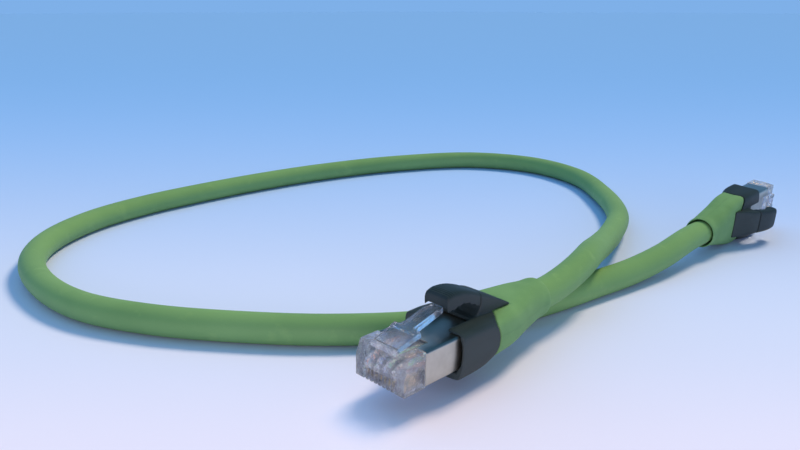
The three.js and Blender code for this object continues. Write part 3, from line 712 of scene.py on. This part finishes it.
def clear_bodies():
    nose_rear, mouth_half, slot_half, tunnel_radius = -5.2, 0.33, 0.29, 0.6
    side = [
        (0, 0.2), (0, 3.43), (-1, 6.15), (-1.12, 6.42), (-1.45, BODY_HEIGHT), (nose_rear, BODY_HEIGHT),
        (nose_rear, 0), (-0.2, 0)]
    plan = [
        (0, -5.7), (0, 5.7), (-0.14, BODY_HALF_WIDTH), (nose_rear, BODY_HALF_WIDTH),
        (nose_rear, -BODY_HALF_WIDTH), (-0.14, -BODY_HALF_WIDTH)]
    nose = combined("INTERSECT", prism(side, BODY_HALF_WIDTH), plan_prism(plan, -1, 8))
    root = prism([(-0.95, 6.2), (-0.95, 6.9), (-1.1, 7.2), (-1.35, 7.3), (-1.35, 6.2)], 3.1)
    body = combined("UNION", nose, block(-20, nose_rear + 0.01, -5.35, 5.35, 0.49, 6.11), root)
    rear_cavity = block(-21, -12, -4.85, 4.85, 1.15, 5.75)
    latch_dip = block(-5.25, -1.6, -3.35, 3.35, 6.0, 7.6)
    cutters = [rear_cavity, latch_dip]
    for i in range(8):
        y, z = wire_place(i)
        cutters.append(block(-1.15, 1, y - mouth_half, y + mouth_half, -1, 2.5))
        cutters.append(block(-5.14, -0.61, y - slot_half, y + slot_half, -1, z - WIRE_RADIUS))
        cutters.append(rod(-12.5, -1.46, tunnel_radius, y, z, count=24))
    body = bevelled(combined("DIFFERENCE", body, *cutters), 0.08)
    on_both_plugs(
        body, "clear_moulding", "cable",
        clear_material("clear body", 0.88, (198, 205, 222), 1.0, 1.3), ["clear_body"], sharp=30)


def latch_tabs():
    half_thickness, half_shoulder, rail_half = 0.475, 3.1, 0.22
    right = [
        (0, 2.9), (-4.8, half_shoulder), (-5.4, half_shoulder), (-5.7, 1.9), (-6.3, 1.7), (-12.7, 1.5),
        (-13.2, 1.1)]
    plan = right + [(x, -y) for x, y in reversed(right)]
    tab = plan_prism(plan, -half_thickness, half_thickness)
    rails = [block(-11.6, -5.6, y - rail_half, y + rail_half, 0, 0.86) for y in (-1.25, 1.25)]
    shoulders = block(-5.4, -4.3, -half_shoulder, half_shoulder, 0, 0.62)
    tab = combined("UNION", tab, shoulders, *rails)
    slope = Matrix.Rotation(math.radians(13.8), 4, "Y")
    tab.data.transform(Matrix.Translation((-1.62, 0, 6.95)) @ slope)
    on_both_plugs(
        softened(tab, 0.09, 3), "latch_moulding", "latch_{}",
        clear_material("clear latch", 0.98, (214, 230, 250), 0.25, 2.0), ["latch_tab"])


clear_bodies()
latch_tabs()


# ---------------------------------------------------------------- shields, crimp barrels and foil
# A thin nickel-plated sheet wraps each clear body, open in front for the latch and the contacts. Behind
# it a crimped barrel holds the cable's screen, and the foil round the four pairs ends inside it.
def nickel_material(name, tone_low, tone_high, roughness):
    """Plated sheet: faint rolling lines, cloudy tarnish and fine cross scratches."""
    material, shader, place = new_material(name, Metallic=1.0)
    tree = material.node_tree
    clouds = place.noise(0.3, 4.0, 0.6)
    lines = place.stretch(0.25, 6, 6).noise(2.5, 4.0, 0.7)
    scratches = place.stretch(3, 0.6, 3).noise(2.2, 6.0, 0.8).ramp(0.62, 0.72)
    tone = clouds.ramp(0.3, 0.7).mix(tone_low, tone_high)
    join(tree, tone, shader.inputs["Base Color"])
    join(tree, roughness + clouds * 0.1 + lines * 0.08 + scratches * 0.12, shader.inputs["Roughness"])
    join(tree, (lines * 0.4 + scratches * 0.3 + clouds * 0.2).bump(0.12, 0.00006), shader.inputs["Normal"])
    return material


def rounded_bar(x_low, x_high, half_width, low, high, radius):
    """A bar along the plug whose four long edges are rounded."""
    outline = []
    for quarter, (side, up) in enumerate([(1, 1), (-1, 1), (-1, -1), (1, -1)]):
        for step in range(9):
            turn = (quarter + step / 8) * math.pi / 2
            y = side * (half_width - radius) + radius * math.cos(turn)
            z = (low + high) / 2 + up * ((high - low) / 2 - radius) + radius * math.sin(turn)
            outline.append((y, z))
    return loft([[(x, y, z) for y, z in outline] for x in (x_high, x_low)])


def shields():
    wall = 0.35
    shell = rounded_bar(-20.2, -5.34, BODY_HALF_WIDTH, 0, BODY_HEIGHT, 0.55)
    inside = rounded_bar(-21, 1, BODY_HALF_WIDTH - wall, wall, BODY_HEIGHT - wall, 0.2)
    latch_window = block(-8.3, 1, -3.5, 3.5, 3.3, 7.6)
    contact_window = block(-7.6, 1, -4.69, 4.69, -1, 3.3)
    shell = bevelled(combined("DIFFERENCE", shell, inside, latch_window, contact_window), 0.06)
    material = nickel_material("nickel shield", (184, 181, 170), (196, 193, 182), 0.26)
    on_both_plugs(shell, "shield_sheet", "cable", material, ["shield"], sharp=40)


def screen_materials():
    """The barrel and the foil keep their CAD meshes, which only show through the hood's gaps."""
    barrel = nickel_material("crimp barrel", (198, 192, 182), (214, 208, 199), 0.26)
    foil, shader, place = new_material("screening foil", Metallic=1.0)
    creases_and_shade = place.stretch(1, 2.5, 2.5).noise(1.6, 4.0, 0.7)
    # Painted shade: the foil's colour follows its crease bump, darker in the low parts of the creases and
    # paler on the raised parts.
    tone = creases_and_shade.ramp(0.35, 0.65).mix((176, 180, 186), (206, 209, 213))
    join(foil.node_tree, tone, shader.inputs["Base Color"])
    join(foil.node_tree, 0.28 + creases_and_shade * 0.2, shader.inputs["Roughness"])
    join(foil.node_tree, creases_and_shade.bump(0.5, 0.0002), shader.inputs["Normal"])
    for side in "ab":
        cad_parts[f"plug_{side}_crimp_barrel"].material_slots[0].material = barrel
        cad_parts[f"plug_{side}_screened_core"].material_slots[0].material = foil


shields()
screen_materials()


# ---------------------------------------------------------------- contacts
# Eight gold-plated blades stand in the slots of the nose, each with two points pressed into its wire.
# The wires lie in two rows, so the blades come in two heights.
def add_input(tree, name, kind, value=None):
    """A named input of a node tree, with the value it starts from."""
    socket = tree.interface.new_socket(name, in_out="INPUT", socket_type=kind)
    if value is not None:
        socket.default_value = value
    return socket


def set_inputs(modifier, values):
    """Sets a modifier's inputs by their identifiers, which are found from their names."""
    for item in modifier.node_group.interface.items_tree:
        if item.name in values and item.in_out == "INPUT":
            modifier[item.identifier] = values[item.name]


def row_tree():
    """Two rows of blades, one of each height, at an even pitch across the plug."""
    tree = bpy.data.node_groups.new("contact rows", "GeometryNodeTree")
    add_input(tree, "Low blade", "NodeSocketObject")
    add_input(tree, "High blade", "NodeSocketObject")
    add_input(tree, "Count", "NodeSocketInt", 4)
    add_input(tree, "First", "NodeSocketFloat", 0.0)
    add_input(tree, "Pitch", "NodeSocketFloat", 1.0)
    add_input(tree, "Finish", "NodeSocketMaterial")
    tree.interface.new_socket("Geometry", in_out="OUTPUT", socket_type="NodeSocketGeometry")
    given = tree.nodes.new("NodeGroupInput").outputs
    joined = tree.nodes.new("GeometryNodeJoinGeometry")
    for row, name in enumerate(("Low blade", "High blade")):
        place = Sock(tree, given["First"]) + Sock(tree, given["Pitch"]) * row
        start = place.node("ShaderNodeCombineXYZ", {"Y": place})
        step = place.node("ShaderNodeCombineXYZ", {"Y": Sock(tree, given["Pitch"]) * 2})
        line = place.node(
            "GeometryNodeMeshLine",
            {"Count": Sock(tree, given["Count"]), "Start Location": start, "Offset": step})
        blade = place.node("GeometryNodeObjectInfo", {"Object": Sock(tree, given[name])}, "Geometry")
        copies = place.node("GeometryNodeInstanceOnPoints", {"Points": line, "Instance": blade})
        tree.links.new(copies.out, joined.inputs[0])
    rows = Sock(tree, joined.outputs[0])
    real = rows.node("GeometryNodeRealizeInstances", {0: rows})
    worn = rows.node("GeometryNodeSetMaterial", {"Geometry": real, "Material": Sock(tree, given["Finish"])})
    tree.links.new(worn.out, tree.nodes.new("NodeGroupOutput").inputs[0])
    return tree


def gold_material():
    """Gold plate, rubbed paler and rougher in places, with fine lines from the stamping."""
    material, shader, _ = new_material("gold plate", Metallic=1.0)
    tree = material.node_tree
    place = local_place(material)
    wear = place.noise(2.2, 4.0, 0.65)
    tone = wear.ramp(0.3, 0.75).mix((206, 166, 92), (230, 202, 140))
    join(tree, tone, shader.inputs["Base Color"])
    join(tree, 0.16 + wear * 0.2, shader.inputs["Roughness"])
    join(tree, place.stretch(1, 1, 5).noise(4.0, 3.0).bump(0.15, 0.00004), shader.inputs["Normal"])
    return material


def contacts():
    front, rear, low, half_thickness = -0.75, -5.0, 0.55, 0.17
    radius = low
    blades = []
    for i in range(2):
        tip = wire_place(i)[1] - 0.6
        valley = tip - 0.35
        nose = [
            (front - radius * (1 - math.cos(t)), low + radius * (1 - math.sin(t)))
            for t in np.linspace(0, math.pi / 2, 9)]
        outline = [
            *nose, (rear, low), (rear, tip), (-4.55, tip), (-4.25, valley), (-3.175, valley),
            (-2.875, tip), (-2.425, tip), (-2.125, valley), (-0.85, 2.05), (front, 1.9)]
        blades.append(bevelled(prism(outline, half_thickness), 0.035))
    material = gold_material()
    rows = working_solid([(0, 0, 0)], [])
    modifier = rows.modifiers.new("rows", "NODES")
    modifier.node_group = row_tree()
    set_inputs(modifier, {
        "Low blade": blades[0], "High blade": blades[1], "Count": 4, "First": wire_place(0)[0],
        "Pitch": CONTACT_PITCH, "Finish": material})
    nodes = [f"contact_{i + 1}" for i in range(8)]
    rows = finished(rows, *blades)
    on_both_plugs(rows, "contact_set", "cable", material, nodes, sharp=35)


contacts()


# ---------------------------------------------------------------- conductors and wire guides
# Eight insulated wires fan out of the foil in two rows, run through a white guide and end under the
# contacts. Four are one colour, and the other four are white with a stripe of their pair's colour.
def wire_tree():
    """A wire along a given line, with rounded bends; "around" runs once round it from 0 to 1."""
    tree = bpy.data.node_groups.new("wire along a line", "GeometryNodeTree")
    add_input(tree, "Geometry", "NodeSocketGeometry")
    add_input(tree, "Radius", "NodeSocketFloat", 0.46)
    add_input(tree, "Bend", "NodeSocketFloat", 1.0)
    add_input(tree, "Finish", "NodeSocketMaterial")
    tree.interface.new_socket("Geometry", in_out="OUTPUT", socket_type="NodeSocketGeometry")
    given = {name: Sock(tree, out) for name, out in tree.nodes.new("NodeGroupInput").outputs.items()}
    start = given["Geometry"]
    bent = start.node(
        "GeometryNodeFilletCurve", {"Curve": start, "Radius": given["Bend"], "Count": 6}, mode="POLY")
    ring = start.node("GeometryNodeCurvePrimitiveCircle", {"Resolution": 20, "Radius": given["Radius"]})
    share = start.node("GeometryNodeSplineParameter", {}, "Factor")
    ring = start.node(
        "GeometryNodeStoreNamedAttribute", {"Geometry": ring, "Name": "around", "Value": share},
        data_type="FLOAT", domain="POINT")
    tube = start.node("GeometryNodeCurveToMesh", {"Curve": bent, "Profile Curve": ring, "Fill Caps": True})
    real = start.node("GeometryNodeRealizeInstances", {0: tube})
    worn = start.node("GeometryNodeSetMaterial", {"Geometry": real, "Material": given["Finish"]})
    tree.links.new(worn.out, tree.nodes.new("NodeGroupOutput").inputs[0])
    return tree


def wire_material(name, ground, stripe):
    """Smooth insulation, a little waxy, with a printed stripe that wanders along the striped wires."""
    material, shader, _ = new_material(name, IOR=1.46)
    tree = material.node_tree
    place = local_place(material)
    around = Sock(tree, tree.nodes.new("ShaderNodeAttribute").outputs["Fac"])
    around.out.node.attribute_name = "around"
    clouds = place.noise(0.8, 3.0)
    band = around - 0.5 + clouds * 0.16 - 0.08
    band = band.maths("ABSOLUTE", band).ramp(0.16, 0.12)
    tone = band.mix(ground, stripe)
    tone = (clouds.ramp(0.4, 0.8) * 0.15).mix(tone, (230, 230, 226))
    join(tree, tone, shader.inputs["Base Color"])
    join(tree, 0.3 + clouds * 0.15, shader.inputs["Roughness"])
    join(tree, place.noise(6.0, 2.0).bump(0.1, 0.00005), shader.inputs["Normal"])
    return material


def conductors():
    white = (226, 224, 218)
    orange, green, blue, brown = (214, 116, 44), (64, 146, 80), (48, 98, 178), (124, 74, 46)
    finishes = [
        (white, orange), (orange, orange), (white, green), (blue, blue), (white, blue), (green, green),
        (white, brown), (brown, brown)]
    tree = wire_tree()
    pitch_in_cable, rise_in_cable = 0.52, 0.76
    for i, (ground, stripe) in enumerate(finishes):
        y, z = wire_place(i)
        inner_y = (i - 3.5) * pitch_in_cable
        inner_z = CABLE_AXIS + (rise_in_cable if i % 2 else -rise_in_cable)
        points = [
            (-19.95, inner_y, inner_z), (-19.5, inner_y, inner_z), (-16.9, y, z), (-16.4, y, z),
            (-12.4, y, z), (-1.6, y, z)]
        curve = bpy.data.curves.new("working_line", "CURVE")
        curve.dimensions = "3D"
        spline = curve.splines.new("POLY")
        spline.points.add(len(points) - 1)
        for point, place in zip(spline.points, points):
            point.co = (*place, 1)
        line = bpy.data.objects.new("working_line", curve)
        bpy.context.scene.collection.objects.link(line)
        material = wire_material(f"wire {i + 1}", ground, stripe)
        modifier = line.modifiers.new("wire", "NODES")
        modifier.node_group = tree
        set_inputs(modifier, {"Radius": WIRE_RADIUS, "Bend": 1.2, "Finish": material})
        graph = bpy.context.evaluated_depsgraph_get()
        mesh = bpy.data.meshes.new_from_object(line.evaluated_get(graph))
        bpy.data.objects.remove(line)
        wire = bpy.data.objects.new("working_solid", mesh)
        bpy.context.scene.collection.objects.link(wire)
        on_both_plugs(
            wire, f"wire_{i + 1}", "cable", material, [f"conductor_{i + 1}"], sharp=50)


def guide_material():
    """White nylon, faintly clouded. The guide keeps its CAD mesh, since the hood hides it."""
    material, shader, place = new_material("white guide", IOR=1.5)
    clouds = place.noise(0.5, 4.0)
    tone = clouds.ramp(0.3, 0.7).mix((222, 222, 216), (236, 236, 231))
    join(material.node_tree, tone, shader.inputs["Base Color"])
    join(material.node_tree, 0.34 + clouds * 0.14, shader.inputs["Roughness"])
    join(material.node_tree, place.noise(5.0, 3.0).bump(0.14, 0.00008), shader.inputs["Normal"])
    for side in "ab":
        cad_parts[f"plug_{side}_wire_guide"].material_slots[0].material = material


conductors()
guide_material()
